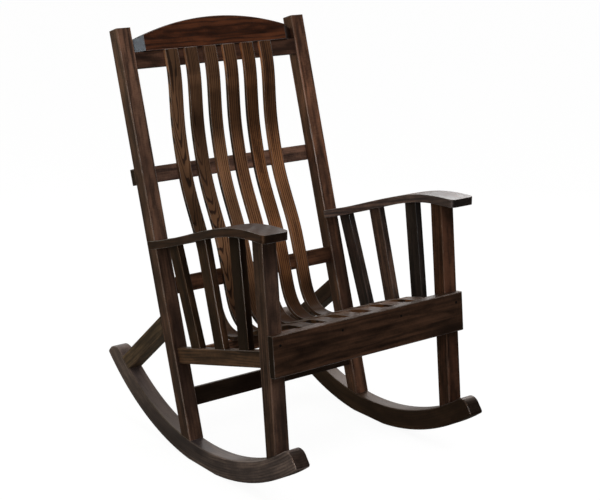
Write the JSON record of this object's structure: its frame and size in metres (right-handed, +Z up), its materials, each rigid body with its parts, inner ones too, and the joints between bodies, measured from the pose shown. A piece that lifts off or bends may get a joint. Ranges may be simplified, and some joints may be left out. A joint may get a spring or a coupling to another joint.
{
  "type": "rocking chair",
  "caption": "Wooden rocking chair with a reclined high back, an arched crest, bent slats that run down the back and over the seat, flared arms and curved rockers.",
  "frame": {"origin": "on the floor, on the plane of symmetry, midway between the front and rear ends of the rockers", "axes": "+Z up, +X to the right as seen from the front, front of the chair towards -Y"},
  "size_m": [0.667, 0.884, 1.1196],
  "materials": {
    "frame_wood": "satin",
    "slat_wood": "satin"
  },
  "bodies": {
    "root": {"apron": "frame_wood", "arm_left": "frame_wood", "arm_right": "frame_wood", "back_post_left": "frame_wood", "back_post_right": "frame_wood", "bent_slat_1": "slat_wood", "bent_slat_2": "slat_wood", "bent_slat_3": "slat_wood", "bent_slat_4": "slat_wood", "bent_slat_5": "slat_wood", "bent_slat_6": "slat_wood", "crest_rail": "slat_wood", "front_leg_left": "frame_wood", "front_leg_right": "frame_wood", "front_seat_rail": "frame_wood", "front_spindle_left": "frame_wood", "front_spindle_right": "frame_wood", "lower_slat_rail": "frame_wood", "mid_slat_rail": "frame_wood", "mid_spindle_left": "frame_wood", "mid_spindle_right": "frame_wood", "rear_brace_left": "frame_wood", "rear_brace_right": "frame_wood", "rear_seat_rail": "frame_wood", "rear_spindle_left": "frame_wood", "rear_spindle_right": "frame_wood", "rear_stretcher": "frame_wood", "rocker_left": "frame_wood", "rocker_right": "frame_wood", "side_rail_left": "frame_wood", "side_rail_right": "frame_wood", "upper_slat_rail": "frame_wood"}
  },
  "joints": []
}
